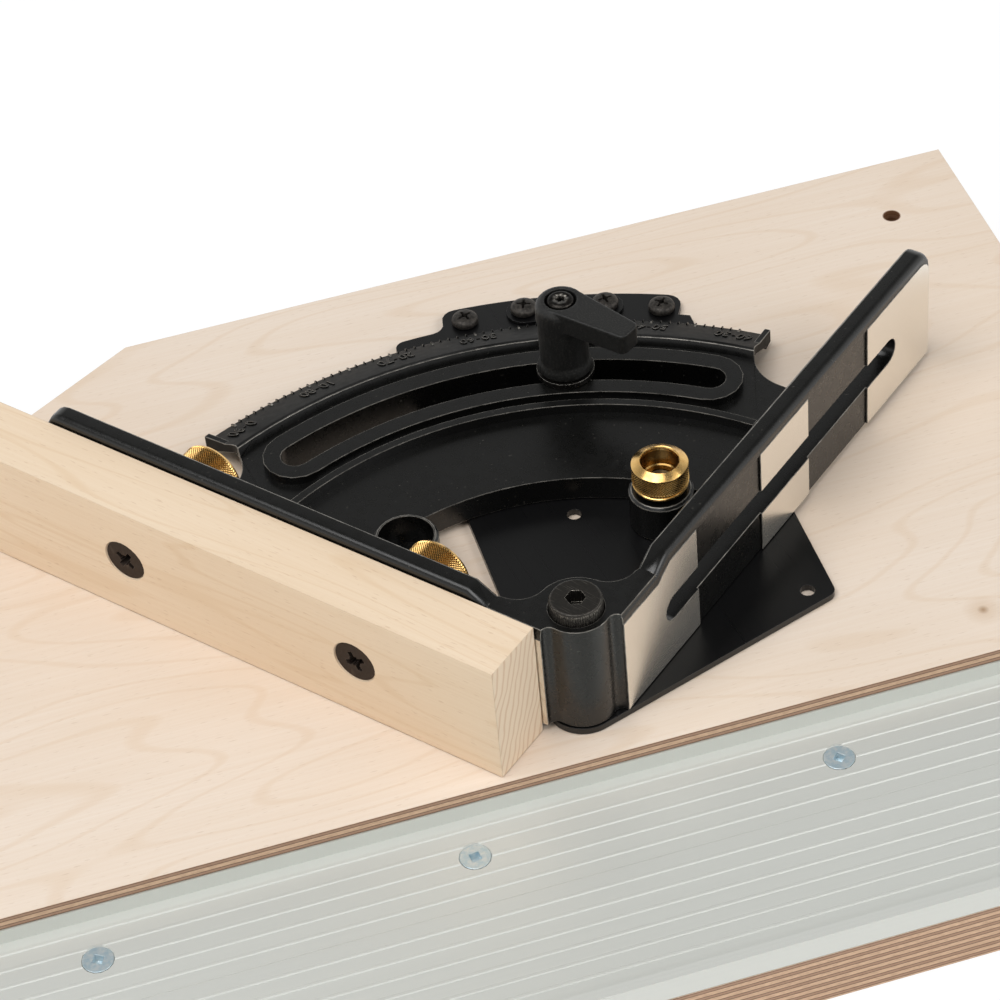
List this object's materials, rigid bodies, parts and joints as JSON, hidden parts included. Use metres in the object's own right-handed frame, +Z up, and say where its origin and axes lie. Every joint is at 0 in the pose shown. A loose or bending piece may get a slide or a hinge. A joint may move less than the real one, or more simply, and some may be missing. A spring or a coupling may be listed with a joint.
{
  "type": "shooting board",
  "caption": "Plywood shooting board with an aluminium plane track and a cast mitre fence that swings over an index plate, locked by a clamp lever.",
  "frame": {"origin": "on the fence's pivot axis, at the underside of the base board", "axes": "+X along the plane track to the right, +Y away from the track, +Z up"},
  "size_m": [0.454, 0.2801, 0.0716],
  "materials": {
    "birch_plywood": "sanded, unfinished",
    "maple": "planed, unfinished",
    "anodised_aluminium": "clear anodised extrusion",
    "black_casting": "satin black paint, machined faces bare",
    "black_plate": "satin black steel",
    "black_screw": "black oxide",
    "zinc_steel": "bright zinc plate",
    "turned_steel": "turned",
    "brass": "knurled and polished",
    "black_nylon": "glass-filled, moulded"
  },
  "bodies": {
    "board": {"base_screw_1": "zinc_steel", "base_screw_2": "zinc_steel", "base_screw_3": "zinc_steel", "base_screw_4": "zinc_steel", "base_screw_5": "zinc_steel", "base_screw_6": "zinc_steel", "track_screw_1": "zinc_steel", "track_screw_2": "zinc_steel", "track_screw_3": "zinc_steel", "track_screw_4": "zinc_steel", "track_screw_5": "zinc_steel", "plate_screw_1": "black_screw", "plate_screw_2": "black_screw", "plate_screw_3": "black_screw", "plate_screw_4": "black_screw", "table_board": "birch_plywood", "base_board": "birch_plywood", "plane_track": "anodised_aluminium", "index_plate": "black_plate", "pointer_plate": "black_plate", "pivot_screw": "black_screw", "pivot_nut": "zinc_steel", "clamp_stud": "turned_steel", "clamp_washer": "turned_steel"},
    "fence": {"fence_casting": "black_casting"},
    "index_pin": {"index_pin": "turned_steel", "index_knob": "brass"},
    "wood_face": {"wood_face": "maple", "face_bolt_1": "black_screw", "face_bolt_2": "black_screw"},
    "thumb_nut_1": {"thumb_nut_1": "brass"},
    "thumb_nut_2": {"thumb_nut_2": "brass"},
    "clamp_nut": {"lever_insert": "turned_steel", "lever_screw": "black_screw", "lever_spring": "turned_steel"},
    "lever_handle": {"lever_handle": "black_nylon"}
  },
  "joints": [
    {"name": "fence_swing", "type": "hinge", "parent": "board", "child": "fence", "pos_m": [0, 0, 0.03], "axis": [0, 0, 1], "range_deg": [-40, 20]},
    {"name": "index_pin_lift", "type": "slide", "parent": "fence", "child": "index_pin", "axis": [0, 0, 1], "range_m": [0, 0.012]},
    {"name": "wood_face_slide", "type": "slide", "parent": "fence", "child": "wood_face", "axis": [-0.6428, 0.766, 0], "range_m": [-0.0228, 0.0165]},
    {"name": "thumb_nut_1_turn", "type": "hinge", "parent": "wood_face", "child": "thumb_nut_1", "pos_m": [-0.03227, 0.03846, 0.0503], "axis": [0.766, 0.6428, 0], "continuous": true},
    {"name": "thumb_nut_2_turn", "type": "hinge", "parent": "wood_face", "child": "thumb_nut_2", "pos_m": [-0.08189, 0.09759, 0.0503], "axis": [0.766, 0.6428, 0], "continuous": true},
    {"name": "lever_turn", "type": "hinge", "parent": "board", "child": "clamp_nut", "pos_m": [0.03173, 0.11677, 0.03], "axis": [0, 0, 1], "range_deg": [0, 120]},
    {"name": "handle_lift", "type": "slide", "parent": "clamp_nut", "child": "lever_handle", "axis": [0, 0, 1], "range_m": [0, 0.0025], "stiffness_N_per_m": 400, "springref_m": -0.002, "deforming": ["lever_spring"]}
  ]
}
